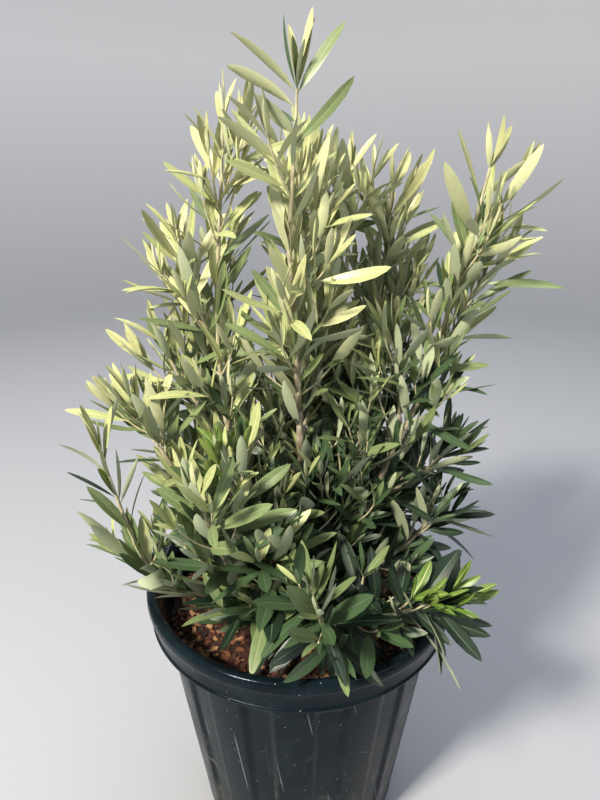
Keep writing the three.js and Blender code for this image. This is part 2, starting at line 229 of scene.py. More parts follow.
# Black polypropylene, injection moulded and left outdoors: a blue-black satin skin under a film of
# dust, with fine pale scratches down the wall, dried splashes of mud low down, and specks of dirt.
plastic, tree, shader, place = new_material("black_polypropylene", IOR=1.49)
shader.inputs["Specular IOR Level"].default_value = 0.12
# Painted reflection: the pale blue specular tint stands in for a blue sky reflected in the
# plastic's gloss.
shader.inputs["Specular Tint"].default_value = linear("#dcecff")
height = add(tree, "ShaderNodeSeparateXYZ", {"Vector": place}, out="Z")
noise_sizes = {"Vector": place, "Scale": 26, "Detail": 7, "Roughness": 0.62}
film = add(tree, "ShaderNodeTexNoise", noise_sizes)
film_stops = [(0.32, "#050c10"), (0.8, "#1d2828"), (0.5, "#0b1419"), (0.66, "#121d21")]
skin = add(tree, "ShaderNodeValToRGB", {0: film}, stops=film_stops)

# Scratches are thin lines that run down and aslant over the wall, in patches.
below_lip = add(tree, "ShaderNodeMapRange", {0: height, 1: BAND_FOOT, 2: BAND_FOOT - 0.004})
for slant, seed_place in ((0.12, 3.1), (0.75, 7.7)):
    lean = {"Vector": place, "Rotation": (0, slant, 0.2), "Location": (0, 0, seed_place)}
    down_wall = add(tree, "ShaderNodeMapping", lean)
    bent = {"Vector": down_wall, "Scale": 9, "Distortion": 5, "Detail": 1, "Detail Scale": 0.25}
    scratch = add(tree, "ShaderNodeTexWave", bent, out="Fac")
    scratch = add(tree, "ShaderNodeMapRange", {0: scratch, 1: 0.9965, 2: 0.9999, 4: 0.5})
    patches = add(tree, "ShaderNodeTexNoise", {"Vector": down_wall, "Scale": 15, "Detail": 3})
    patches = add(tree, "ShaderNodeMapRange", {0: patches, 1: 0.53, 2: 0.66})
    for factor in (patches, below_lip):
        scratch = add(tree, "ShaderNodeMath", {0: scratch, 1: factor}, operation="MULTIPLY")
    mix = {0: scratch, 6: skin, 7: linear("#8a9196")}
    skin = add(tree, "ShaderNodeMix", mix, out=2, data_type="RGBA")

# Mud has splashed up from the ground and dried, thickest at the foot.
low_down = add(tree, "ShaderNodeMapRange", {0: height, 1: 0.19, 2: 0.1})
wiped = {"Vector": place, "Rotation": (0, 0.5, 0), "Scale": (1, 1, 0.5)}
wiped = add(tree, "ShaderNodeMapping", wiped)
noise_sizes = {"Vector": wiped, "Scale": 24, "Detail": 8, "Roughness": 0.7, "Distortion": 1.2}
splash = add(tree, "ShaderNodeTexNoise", noise_sizes)
splash = add(tree, "ShaderNodeMapRange", {0: splash, 1: 0.55, 2: 0.72, 4: 0.6})
mud = add(tree, "ShaderNodeMath", {0: splash, 1: low_down}, operation="MULTIPLY")

speck = add(tree, "ShaderNodeTexVoronoi", {"Vector": place, "Scale": 130, "Randomness": 1})
speck = add(tree, "ShaderNodeMapRange", {0: speck, 1: 0.08, 2: 0.05})
for cover, colour in ((mud, "#67655e"), (speck, "#7c7e7a")):
    mix = {0: cover, 6: skin, 7: linear(colour)}
    skin = add(tree, "ShaderNodeMix", mix, out=2, data_type="RGBA")

dull = add(tree, "ShaderNodeMapRange", {0: film, 1: 0.35, 2: 0.7, 3: 0.24, 4: 0.4})
rubbed = add(tree, "ShaderNodeMapRange", {0: height, 1: 0.235, 2: 0.25, 3: 1.0, 4: 0.55})
dull = add(tree, "ShaderNodeMath", {0: dull, 1: rubbed}, operation="MULTIPLY")
dull = add(tree, "ShaderNodeMath", {0: mud, 1: 0.8, 2: dull}, operation="MULTIPLY_ADD")
tree.links.new(dull, shader.inputs["Roughness"])
grain = add(tree, "ShaderNodeTexNoise", {"Vector": place, "Scale": 1400, "Detail": 2})
surface(tree, shader, skin, grain, 0.12, 0.0004)

pot.data.materials.append(plastic)
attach(pot, "root")
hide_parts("pot")


# ---- Soil ----
# Potting mix of composted bark: a low mound of fine dark mix, covered with loose red-brown
# crumbs of bark of 3 to 8 mm, some of them dried out and pale.

SOIL_EDGE = 0.232
SOIL_MIDDLE = 0.240
SOIL_FOOT = 0.0053
SOIL_CLEAR = 0.0061
SOIL_RINGS = 26
SOIL_SEGMENTS = 96
SOIL_LUMPS = 0.0022
CRUMBS_PER_M2 = 46000
CRUMB_LENGTH = 0.006
CRUMB_SPACING = 0.0026
# Half a crumb's length, width and height, as shares of its length.
HALF_LENGTH, HALF_WIDTH, HALF_HEIGHT = 0.5, 0.3, 0.17


def soil_level(radius):
    """The mound is highest round the trunk and falls to the pot's wall."""
    edge = body_radius(SOIL_EDGE) - SOIL_CLEAR
    inward = 1 - np.clip(radius / edge, 0, 1)
    return SOIL_EDGE + (SOIL_MIDDLE - SOIL_EDGE) * np.sqrt(inward)


soil_edge = body_radius(SOIL_EDGE) - SOIL_CLEAR
soil_profile = [(0, SOIL_FOOT), (body_radius(SOIL_FOOT) - SOIL_CLEAR, SOIL_FOOT)]
soil_profile += [(r, soil_level(r) - 0.002) for r in np.linspace(soil_edge, 0.004, SOIL_RINGS)]
soil_profile += [(0, SOIL_MIDDLE - 0.002)]
soil = turned("soil_bed", np.array(soil_profile), SOIL_SEGMENTS)
for vertex in soil.data.vertices:
    lump = noise.noise(vertex.co * 90) + 0.6 * noise.noise(vertex.co * 210)
    inside = math.hypot(vertex.co.x, vertex.co.y) < soil_edge - 0.002
    if inside and vertex.co.z > SOIL_EDGE - 0.004:
        vertex.co.z += SOIL_LUMPS * lump

# Composted bark mix: matt, nearly black in the hollows of its bump relief and red-brown on its
# rises.
bark_mix, tree, shader, place = new_material("composted_bark_mix", Roughness=0.95, IOR=1.4)
noise_sizes = {"Vector": place, "Scale": 160, "Detail": 6, "Roughness": 0.7}
soil_relief = add(tree, "ShaderNodeTexNoise", noise_sizes)
soil_relief_stops = [(0.35, "#150c08"), (0.7, "#42271c"), (0.5, "#28140d")]
colour = add(tree, "ShaderNodeValToRGB", {0: soil_relief}, stops=soil_relief_stops)
surface(tree, shader, colour, soil_relief, 1, 0.002)
soil.data.materials.append(bark_mix)
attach(soil, "root")
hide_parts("soil")

# Bark crumbs: torn and angular, matt, from dark red-brown to dried-out buff. Each has one tone.
crumb, tree, shader, place = new_material("bark_crumb", Roughness=0.85, IOR=1.45)
tone = add(tree, "ShaderNodeAttribute", out="Fac", attribute_name="tone")
along_fibre = add(tree, "ShaderNodeMapping", {"Vector": place, "Scale": (1, 0.4, 1)})
fibre = add(tree, "ShaderNodeTexNoise", {"Vector": along_fibre, "Scale": 700, "Detail": 3})
shade = add(tree, "ShaderNodeMath", {0: fibre, 1: 0.22, 2: tone}, operation="MULTIPLY_ADD")
crumb_stops = [(0.09, "#140a06"), (0.97, "#8f6c4b")]
crumb_stops += [(0.4, "#2e150d"), (0.7, "#4a2618"), (0.87, "#683e29")]
colour = add(tree, "ShaderNodeValToRGB", {0: shade}, stops=crumb_stops)
surface(tree, shader, colour, fibre, 0.6, 0.0006)

crumb_forms = bpy.data.collections.new("crumb_forms")
for form in range(4):
    mesh = bpy.data.meshes.new(f"crumb_{form}")
    corners = [(x, y, z) for z in (-1, 1) for y in (-1, 0, 1) for x in (-1, 0, 1)]
    points = []
    for x, y, z in corners:
        jolt = noise.noise_vector(Vector((x, y, z)) * 0.9 + Vector((form * 7.3, 2.1, 0)))
        taper = 1 - 0.3 * abs(x)
        across = y * HALF_WIDTH * taper + 0.12 * jolt.y
        points.append((x * HALF_LENGTH + 0.16 * jolt.x, across, z * HALF_HEIGHT + 0.12 * jolt.z))
    rim = [0, 1, 2, 5, 8, 7, 6, 3]
    faces = [(i, i + 3, i + 4, i + 1) for i in (0, 1, 3, 4)]
    faces += [(i + 9, i + 10, i + 13, i + 12) for i in (0, 1, 3, 4)]
    faces += [(a, b, b + 9, a + 9) for a, b in zip(rim, rim[1:] + rim[:1])]
    mesh.from_pydata(points, [], faces)
    crumb_forms.objects.link(bpy.data.objects.new(f"crumb_{form}", mesh))


def new_tree(name, **sockets):
    """A Geometry Nodes tree with its group input and output, and the inputs named."""
    tree = bpy.data.node_groups.new(name, "GeometryNodeTree")
    tree.interface.new_socket("Geometry", in_out="INPUT", socket_type="NodeSocketGeometry")
    for socket, kind in sockets.items():
        label = socket.replace("_", " ")
        tree.interface.new_socket(label, in_out="INPUT", socket_type="NodeSocket" + kind)
    tree.interface.new_socket("Geometry", in_out="OUTPUT", socket_type="NodeSocketGeometry")
    return tree, tree.nodes.new("NodeGroupInput").outputs, tree.nodes.new("NodeGroupOutput")


def grown(piece, tree, **values):
    """Runs a tree on a piece with these input values, and leaves the result as its plain mesh."""
    modifier = piece.modifiers.new(tree.name, "NODES")
    modifier.node_group = tree
    for item in tree.interface.items_tree:
        key = item.name.replace(" ", "_")
        if item.in_out == "INPUT" and key in values:
            modifier[item.identifier] = values[key]
    evaluated = piece.evaluated_get(bpy.context.evaluated_depsgraph_get())
    mesh = bpy.data.meshes.new_from_object(evaluated)
    piece.modifiers.remove(modifier)
    piece.data = mesh
    mesh.name = piece.name
    return piece


def end_tree(tree, geometry, given, result):
    """Makes a tree's instances plain mesh, gives it the material, and puts it out."""
    realized = add(tree, "GeometryNodeRealizeInstances", {"Geometry": geometry})
    finish = {"Geometry": realized, "Material": given["Material"]}
    tree.links.new(add(tree, "GeometryNodeSetMaterial", finish), result.inputs[0])


sockets = {"Crumbs": "Collection", "Density": "Float", "Length": "Float", "Lowest": "Float"}
sockets |= {"Seed": "Int", "Material": "Material"}
tree, given, result = new_tree("scattered_crumbs", **sockets)
spot = add(tree, "GeometryNodeInputPosition")
level = add(tree, "ShaderNodeSeparateXYZ", {"Vector": spot}, out="Z")
above = {0: level, 1: given["Lowest"]}
above = add(tree, "FunctionNodeCompare", above, operation="GREATER_THAN")
mound = {"Geometry": given["Geometry"], "Selection": above}
mound = add(tree, "GeometryNodeSeparateGeometry", mound, domain="FACE")
spots = {"Mesh": mound, "Distance Min": CRUMB_SPACING}
spots |= {"Density Max": given["Density"], "Seed": given["Seed"]}
scatter = "GeometryNodeDistributePointsOnFaces"
spots = add(tree, scatter, spots, distribute_method="POISSON")
forms = {"Collection": given["Crumbs"], "Separate Children": True, "Reset Children": True}
forms = add(tree, "GeometryNodeCollectionInfo", forms)
lying = {"Min": (-0.5, -0.5, 0), "Max": (0.5, 0.5, 2 * math.pi), "Seed": 3}
lying = add(tree, "FunctionNodeRandomValue", lying, data_type="FLOAT_VECTOR")
share = {2: 0.45, 3: 1.35, "Seed": 4}
share = add(tree, "FunctionNodeRandomValue", share, out=1, data_type="FLOAT")
size = add(tree, "ShaderNodeMath", {0: share, 1: given["Length"]}, operation="MULTIPLY")
scattered = {"Points": spots, "Instance": forms, "Pick Instance": True}
scattered |= {"Rotation": lying, "Scale": size}
scattered = add(tree, "GeometryNodeInstanceOnPoints", scattered)
tone = {2: 0.0, 3: 1.0, "Seed": 5}
tone = add(tree, "FunctionNodeRandomValue", tone, out=1, data_type="FLOAT")
toned = {"Geometry": scattered, "Name": "tone", "Value": tone}
store = "GeometryNodeStoreNamedAttribute"
toned = add(tree, store, toned, data_type="FLOAT", domain="INSTANCE")
end_tree(tree, toned, given, result)

crumbs = new_piece("soil_crumbs", soil.data.copy())
cover = {"Crumbs": crumb_forms, "Density": CRUMBS_PER_M2, "Length": CRUMB_LENGTH}
grown(crumbs, tree, **cover, Lowest=SOIL_EDGE - 0.008, Seed=1, Material=crumb)
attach(crumbs, "root")
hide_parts("soil")


# ---- Trunk and boughs ----
# One leader and fifteen boughs of a young olive. The wood is thin and still smooth. Its bark is
# pale grey-beige, faintly ridged lengthwise and a little swollen at each old leaf joint.

GAP = 0.0003
TRUNK_FOOT = (0.004, 0.004)
TRUNK_HEAD = (-0.008, -0.037, 0.592)
TRUNK_BEND = 0.45
TRUNK_RADIUS = 0.0046
TRUNK_TIP = 0.0016
TRUNK_FLARE = 0.0054
FLARE_HEIGHT = 0.08
BOUGH_TIP = 0.0015
JOINT_SPACING = 0.023
JOINT_LENGTH = 0.0026
JOINT_SWELLING = 0.2
CROOK = 0.0011

# Name, share of the trunk's height where it leaves, bend, head, radius, top shoot, shoots along it.
LIMBS = [
    ("leader", 0, None, None, TRUNK_RADIUS, 0.104, 5),
    ("left_tall", 0.14, (-0.08, 0, 0.32), (-0.069, 0, 0.56), 0.0036, 0.116, 4),
    ("right_tall", 0.08, (0.096, -0.003, 0.37), (0.126, -0.008, 0.536), 0.0042, 0.112, 4),
    ("right_middle", 0.17, (0.06, 0.04, 0.33), (0.073, 0.046, 0.528), 0.0032, 0.1, 2),
    ("right_inner", 0.21, (0.04, 0.034, 0.33), (0.042, 0.036, 0.54), 0.003, 0.104, 1),
    ("back_middle", 0.1, (0.014, 0.064, 0.32), (0.008, 0.062, 0.55), 0.0034, 0.106, 2),
    ("back_left", 0.06, (-0.07, 0.072, 0.31), (-0.076, 0.08, 0.476), 0.0034, 0.108, 2),
    ("back_right", 0.05, (0.064, 0.098, 0.31), (0.07, 0.112, 0.44), 0.0034, 0.11, 2),
    ("left_low", 0.1, (-0.084, -0.018, 0.345), (-0.112, -0.02, 0.39), 0.0029, 0.078, 0),
    ("left_trailing", 0.02, (-0.12, -0.064, 0.25), (-0.14, -0.072, 0.35), 0.0026, 0.084, 0),
    ("front_left", 0.03, (-0.06, -0.084, 0.262), (-0.052, -0.081, 0.338), 0.0027, 0.096, 2),
    ("front_right", 0.06, (0.024, -0.098, 0.268), (0.062, -0.104, 0.297), 0.0025, 0.066, 1),
    ("front_middle", 0.02, (-0.016, -0.072, 0.262), (-0.022, -0.088, 0.304), 0.0024, 0.06, 0),
    ("right_low", 0.09, (0.052, 0.004, 0.33), (0.098, 0.002, 0.362), 0.0027, 0.062, 0),
    ("right_lowest", 0.03, (0.054, -0.024, 0.266), (0.096, -0.02, 0.306), 0.0026, 0.062, 0),
    ("back_low", 0.04, (-0.014, 0.09, 0.264), (-0.02, 0.122, 0.33), 0.0027, 0.09, 1),
]


def unit(vector):
    return vector / np.linalg.norm(vector)


def point_on(route, share):
    """A point of a route, which is three points: its start, its bend and its end."""
    start, bend, end = route
    rest = 1 - share
    return rest * rest * start + 2 * rest * share * bend + share * share * end


def heading_on(route, share):
    start, bend, end = route
    return unit((1 - share) * (bend - start) + share * (end - bend))


def points_on(route, count):
    return np.array([point_on(route, i / count) for i in range(count + 1)])


def route_length(route):
    return np.linalg.norm(np.diff(points_on(route, 200), axis=0), axis=1).sum()


trunk_foot = np.array((*TRUNK_FOOT, SOIL_MIDDLE + GAP))
trunk_head = np.array(TRUNK_HEAD)
trunk_rise = np.array((0, 0, np.linalg.norm(trunk_head - trunk_foot) * TRUNK_BEND))
trunk_route = (trunk_foot, trunk_foot + trunk_rise, trunk_head)


def limb_route(at, bend, head):
    if head is None:
        return trunk_route
    return (point_on(trunk_route, at), np.array(bend), np.array(head))


def limb_radius(name, radius, share):
    if name == "leader":
        flare = TRUNK_FLARE * np.exp(-share / FLARE_HEIGHT)
        return TRUNK_RADIUS + (TRUNK_TIP - TRUNK_RADIUS) * share + flare
    return radius + (BOUGH_TIP - radius) * share


# The wood of a limb or of a spray of twigs: lines with a thickness become rods with closed
# ends, and their surface moves in and out by a noise that is drawn out along the grain.
sockets = {"Sides": "Int", "Relief": "Float", "Grain": "Float", "Material": "Material"}
tree, given, result = new_tree("rods_with_bark", **sockets)
lines = add(tree, "GeometryNodeMeshToCurve", {"Mesh": given["Geometry"]})
thickness = {"Name": "thickness"}
thickness = add(tree, "GeometryNodeInputNamedAttribute", thickness, data_type="FLOAT")
section = {"Resolution": given["Sides"], "Radius": 1.0}
section = add(tree, "GeometryNodeCurvePrimitiveCircle", section)
rods = {"Curve": lines, "Profile Curve": section, "Scale": thickness, "Fill Caps": True}
rods = add(tree, "GeometryNodeCurveToMesh", rods)
position = add(tree, "GeometryNodeInputPosition")
along_grain = {0: position, 1: (1, 1, 0.12)}
along_grain = add(tree, "ShaderNodeVectorMath", along_grain, operation="MULTIPLY")
ridges = {"Vector": along_grain, "Scale": given["Grain"], "Detail": 3.0}
ridges = add(tree, "ShaderNodeTexNoise", ridges)
rise = add(tree, "ShaderNodeMath", {0: ridges, 1: 0.5}, operation="SUBTRACT")
for factor in (given["Relief"], thickness):
    rise = add(tree, "ShaderNodeMath", {0: rise, 1: factor}, operation="MULTIPLY")
offset = {0: add(tree, "GeometryNodeInputNormal"), "Scale": rise}
offset = add(tree, "ShaderNodeVectorMath", offset, operation="SCALE")
moved = add(tree, "GeometryNodeSetPosition", {"Geometry": rods, "Offset": offset})
smooth = add(tree, "GeometryNodeSetShadeSmooth", {"Geometry": moved})
end_tree(tree, smooth, given, result)
wood_tree = tree


def line_piece(name, lines):
    """A piece of bare lines. Each line is its points, with a thickness and an age at each."""
    points = np.concatenate([line[0] for line in lines])
    edges = []
    start = 0
    for line in lines:
        count = len(line[0])
        edges += [(start + i, start + i + 1) for i in range(count - 1)]
        start += count
    mesh = bpy.data.meshes.new(name)
    mesh.from_pydata(points.tolist(), edges, [])
    for key, column in (("thickness", 1), ("youth", 2)):
        values = np.concatenate([line[column] for line in lines]).astype(np.float32)
        mesh.attributes.new(key, "FLOAT", "POINT").data.foreach_set("value", values)
    return new_piece(name, mesh)


def crooked(points, amount=CROOK):
    """A line's points, a little off their smooth route between its two ends."""
    moved = points.copy()
    for i, point in enumerate(points[1:-1], 1):
        ease = min(1, 0.3 * i, 0.3 * (len(points) - 1 - i))
        moved[i] += np.array(noise.noise_vector(Vector(point) * 34)) * amount * ease
    return moved


def jointed(length, shares):
    """How much thicker wood is at each share of its length, as it swells at old leaf joints."""
    off = (shares * length) % JOINT_SPACING
    off = np.minimum(off, JOINT_SPACING - off)
    return 1 + JOINT_SWELLING * np.exp(-((off / JOINT_LENGTH) ** 2))


# Young olive bark: thin, dry and matt, grey-beige with paler streaks and small pale pores. It is
# darker and greyer at the soil and turns olive-yellow towards the year's growth.
bark, tree, shader, place = new_material("young_olive_bark", Roughness=0.8, IOR=1.45)
along_grain = add(tree, "ShaderNodeMapping", {"Vector": place, "Scale": (1, 1, 0.14)})
noise_sizes = {"Vector": along_grain, "Scale": 520, "Detail": 5, "Roughness": 0.65}
streaks = add(tree, "ShaderNodeTexNoise", noise_sizes)
old_stops = [(0.3, "#6d6251"), (0.68, "#b8ae98"), (0.5, "#978b76")]
old = add(tree, "ShaderNodeValToRGB", {0: streaks}, stops=old_stops)
green_stops = [(0.3, "#8b8766"), (0.68, "#c8c2a4"), (0.5, "#aaa483")]
green = add(tree, "ShaderNodeValToRGB", {0: streaks}, stops=green_stops)
youth = add(tree, "ShaderNodeAttribute", out="Fac", attribute_name="youth")
colour = add(tree, "ShaderNodeMix", {0: youth, 6: old, 7: green}, out=2, data_type="RGBA")
pores = add(tree, "ShaderNodeTexVoronoi", {"Vector": place, "Scale": 420, "Randomness": 1})
pores = add(tree, "ShaderNodeMapRange", {0: pores, 1: 0.2, 2: 0.1})
mix = {0: pores, 6: colour, 7: linear("#cbc2ac")}
colour = add(tree, "ShaderNodeMix", mix, out=2, data_type="RGBA")
surface(tree, shader, colour, streaks, 0.5, 0.0006)

WOOD_STEP = 0.0022
limbs = []
for name, at, bend, head, radius, top, sides in LIMBS:
    route = limb_route(at, bend, head)
    length = route_length(route)
    shares = np.linspace(0, 1, int(length / WOOD_STEP) + 1)
    points = crooked(points_on(route, len(shares) - 1))
    thick = limb_radius(name, radius, shares) * jointed(length, shares)
    if name == "leader":
        points = np.concatenate([points[:1] - (0, 0, 0.006), points])
        thick = np.concatenate([thick[:1] * 1.25, thick])
        shares = np.concatenate([[0], shares])
    youth = 0.75 * smooth_step(0.45, 1, shares)
    wood = line_piece("bark_" + name, [(points, thick, youth)])
    grown(wood, wood_tree, Sides=16, Relief=0.5, Grain=420.0, Material=bark)
    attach(wood, "root")
    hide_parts("trunk" if name == "leader" else "bough_" + name)
    limbs.append((name, route, radius, top, sides))


# ---- Twigs ----
# A leafy shoot grows on from the head of every limb, and more grow along it. Each shoot carries
# short twigs. They are this year's wood: thin, smooth and olive-yellow.

SHOOT_LENGTH = 0.106
SHOOT_LENGTH_SWAY = 0.16
SHOOT_FROM, SHOOT_TO = 0.16, 0.84
SHOOT_OPEN_LOW, SHOOT_OPEN_HIGH = 58, 14
GOLDEN_TURN = 137.5
SHOOT_LIFT, TOP_LIFT = 0.5, 0.4
LOWEST_SLOPE = 0.12
CLEARANCE = 0.026
TRIES = 24
# How far the shoot on a limb's head turns aside from the limb's own heading.
LEAN = {"leader": (0.14, 0, 0), "left_tall": (0.06, 0, 0), "right_tall": (0.06, 0, 0)}
LEAN |= {"right_middle": (0.04, 0, 0), "left_trailing": (-0.04, 0, 0)}
LEAN |= {"front_right": (0.3, 0.05, -0.42)}
BALL_SPACING = 0.005
TOP_BARE, SIDE_BARE = 0.12, 0.22
SHOOT_RADIUS, SHOOT_TIP = 0.0019, 0.0009
TWIG_STATIONS = (0.3, 0.52, 0.2, 0.42, 0.64)
TWIG_SHARES = (0.46, 0.46, 0.4, 0.42, 0.36)
TWIG_BARE = 0.22
TOP_TWIGS = {"leader": 1, "right_tall": 4, "left_trailing": 0}
TWIG_OPEN = 35
TWIG_THICKNESS = 0.62
TWIG_TIP = SHOOT_TIP * 0.8
SPURS_FROM, SPURS_TO = 0.1, 0.94
BARE_FOOT = {"left_trailing": 0.62}
SPUR_SPACING = 0.02
SPUR_LENGTH, SPUR_LENGTH_SWAY, SPUR_SHRINK = 0.052, 0.45, 0.35
SPUR_RADIUS = 0.0011
SPUR_OPEN, SPUR_OPEN_SWAY, SPUR_TURN_SWAY = 52, 10, 24
SPUR_BARE = 0.3
SPUR_CHANCE, SPUR_CHANCE_FALL = 1.0, 0.3
UP = np.array((0.0, 0.0, 1.0))


def chance(plant, item, use):
    """A number from 0 to 1 that depends only on three whole numbers."""
    mask = 0xFFFFFFFF
    h = ((plant + 1) * 73856093) ^ ((item + 1) * 19349663) ^ ((use + 1) * 83492791)
    h = h & mask
    h = ((h ^ (h >> 15)) * 2246822519) & mask
    h = ((h ^ (h >> 13)) * 3266489917) & mask
    return (h ^ (h >> 16)) / 4294967296


def sway(plant, item, use):
    return 2 * chance(plant, item, use) - 1


def branch_off(line, open_angle, turn):
    """The direction that stands off a line by an angle, turned round it, both in degrees."""
    reference = np.array((1.0, 0, 0) if abs(line[0]) < 0.8 else (0, 1.0, 0))
    side = unit(np.cross(line, reference))
    across = np.cross(line, side)
    turn, open_angle = math.radians(turn), math.radians(open_angle)
    radial = side * math.cos(turn) + across * math.sin(turn)
    return radial * math.sin(open_angle) + line * math.cos(open_angle)


def shoot_route(start, heading, length, lift):
    """A shoot sets out along its heading and turns up towards the light."""
    turned_up = unit(heading + (UP - heading) * lift)
    bend = start + heading * length / 2
    return (start, bend, bend + turned_up * length / 2)


balls = []
for name, route, radius, top, sides in limbs:
    count = math.ceil(route_length(route) / BALL_SPACING)
    for i in range(count + 1):
        balls.append((*point_on(route, i / count), limb_radius(name, radius, i / count)))
balls = np.array(balls)


def free_shoot(route, share, length, first_turn, spines):
    """Of the directions round a limb, the first whose shoot is clear of the wood and all shoots."""
    start, line = point_on(route, share), heading_on(route, share)
    open_angle = SHOOT_OPEN_LOW + (SHOOT_OPEN_HIGH - SHOOT_OPEN_LOW) * share
    best_room, best = -1, None
    for attempt in range(TRIES):
        heading = branch_off(line, open_angle, first_turn + attempt * GOLDEN_TURN)
        heading[2] = max(heading[2], LOWEST_SLOPE)
        tried = shoot_route(start, unit(heading), length, SHOOT_LIFT)
        outer = points_on(tried, 8)[3:]
        to_wood = np.linalg.norm(balls[:, None, :3] - outer[None], axis=2) - balls[:, 3:]
        to_shoots = np.linalg.norm(spines[:, None] - outer[None], axis=2)
        room = min(to_wood.min(), to_shoots.min())
        if room > best_room:
            best_room, best = room, tried
        if best_room >= CLEARANCE:
            break
    return best


shoots = []
for name, route, radius, top, sides in limbs:
    onward = heading_on(route, 1)
    heading = unit(onward + LEAN.get(name, (0, 0, 0)))
    grows = shoot_route(point_on(route, 1) + onward * GAP, heading, top, TOP_LIFT)
    shoots.append((name, "top", grows, top, TOP_BARE))
spines = np.concatenate([points_on(shoot[2], 8) for shoot in shoots])
for order, (name, route, radius, top, sides) in enumerate(limbs):
    for side in range(sides):
        place_share = side / (sides - 1) if sides > 1 else 0.5
        share = SHOOT_FROM + (SHOOT_TO - SHOOT_FROM) * place_share
        length = SHOOT_LENGTH * (1 + SHOOT_LENGTH_SWAY * sway(order, side, 6))
        grows = free_shoot(route, share, length, 360 * chance(order, side, 7), spines)
        shoots.append((name, f"side_{side + 1}", grows, length, SIDE_BARE))
        spines = np.concatenate([spines, points_on(grows, 8)[1:]])

# Every shoot with its twigs: limb, number, route, length, bare share, and how young its wood is.
stems = []
for own, (name, part, route, length, bare) in enumerate(shoots):
    stems.append((name, own, 0, route, length, bare, SHOOT_RADIUS, SHOOT_TIP))
    twigs = TOP_TWIGS.get(name, len(TWIG_STATIONS)) if part == "top" else len(TWIG_STATIONS)
    for index, (station, share) in enumerate(zip(TWIG_STATIONS[:twigs], TWIG_SHARES)):
        line = heading_on(route, station)
        heading = branch_off(line, TWIG_OPEN, 360 * chance(own, index, 8))
        twig_length = length * share
        twig = shoot_route(point_on(route, station), heading, twig_length, TOP_LIFT)
        thick = TWIG_THICKNESS * (SHOOT_RADIUS + (SHOOT_TIP - SHOOT_RADIUS) * station)
        stems.append((name, own, index + 1, twig, twig_length, TWIG_BARE, thick, TWIG_TIP))

# Short spurs in crossing pairs along the limbs themselves, fewer and shorter towards the head.
for order, (name, route, *_) in enumerate(limbs):
    length = route_length(route)
    joints = int(length * (SPURS_TO - SPURS_FROM) / SPUR_SPACING)
    for joint in range(joints):
        share = SPURS_FROM + (SPURS_TO - SPURS_FROM) * joint / joints
        for half in (0, 1):
            item = joint * 2 + half
            missing = chance(order, item, 20) > SPUR_CHANCE - SPUR_CHANCE_FALL * share
            if missing or share < BARE_FOOT.get(name, 0):
                continue
            turn = 360 * chance(order, 0, 21) + joint * 90 + half * 180
            turn += SPUR_TURN_SWAY * sway(order, item, 22)
            open_angle = SPUR_OPEN + SPUR_OPEN_SWAY * sway(order, item, 23)
            heading = branch_off(heading_on(route, share), open_angle, turn)
            heading[2] = max(heading[2], LOWEST_SLOPE)
            spur_length = SPUR_LENGTH * (1 + SPUR_LENGTH_SWAY * sway(order, item, 24))
            spur_length *= 1 - SPUR_SHRINK * share
            spur = shoot_route(point_on(route, share), unit(heading), spur_length, SHOOT_LIFT)
            own = len(shoots) + order * 100 + item
            stems.append((name, own, 1, spur, spur_length, SPUR_BARE, SPUR_RADIUS, TWIG_TIP))

TWIG_STEP = 0.005
masses = {name: [] for name, *_ in limbs}
for name, part, *_ in shoots:
    masses[name].append(f"foliage_{name}_{part}")
for limb_name, *rest in limbs:
    lines = []
    for name, own, twig, route, length, bare, low, high in stems:
        if name != limb_name:
            continue
        shares = np.linspace(0, 1, int(length / TWIG_STEP) + 2)
        points = crooked(points_on(route, len(shares) - 1), CROOK * 0.6)
        thick = low + (high - low) * shares
        youth = np.full(len(shares), 0.55 if twig == 0 else 0.8) + 0.2 * shares
        lines.append((points, thick, youth))
    twigs = line_piece("twigs_" + limb_name, lines)
    grown(twigs, wood_tree, Sides=8, Relief=0.25, Grain=500.0, Material=bark)
    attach(twigs, "root")
    stood_for = masses[limb_name]
    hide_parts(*stood_for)


# A dead twig, bleached and forked, lies on the crumbs in front.
DEAD_TWIG = ((-0.016, -0.1075, 0.2415), (-0.006, -0.094, 0.2445), (0.0045, -0.076, 0.2505))
DEAD_FORK = ((-0.0105, -0.100, 0.243), (-0.016, -0.101, 0.245), (-0.0205, -0.104, 0.243))
DEAD_RADIUS, DEAD_TIP = 0.0012, 0.0007

dead_wood, tree, shader, place = new_material("bleached_dead_twig", Roughness=0.85, IOR=1.45)
along_grain = add(tree, "ShaderNodeMapping", {"Vector": place, "Scale": (1, 1, 0.3)})
streaks = add(tree, "ShaderNodeTexNoise", {"Vector": along_grain, "Scale": 500, "Detail": 4})
dead_stops = [(0.3, "#8f7f70"), (0.6, "#c9b7a6")]
colour = add(tree, "ShaderNodeValToRGB", {0: streaks}, stops=dead_stops)
surface(tree, shader, colour, streaks, 0.4, 0.0004)

lines = []
for corners in (DEAD_TWIG, DEAD_FORK):
    points = crooked(points_on(tuple(np.array(corner) for corner in corners), 10), CROOK * 0.8)
    lines.append((points, np.linspace(DEAD_RADIUS, DEAD_TIP, 11), np.zeros(11)))
dead_twig = line_piece("dead_twig", lines)
grown(dead_twig, wood_tree, Sides=8, Relief=0.5, Grain=600.0, Material=dead_wood)
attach(dead_twig, "root")


# ---- Leaves ----
# Olive leaves stand in crossing pairs. They are narrow, leathery and a little folded, waxy and
# grey-green above, silvery below, with a pale midrib. The youngest are small and upright.

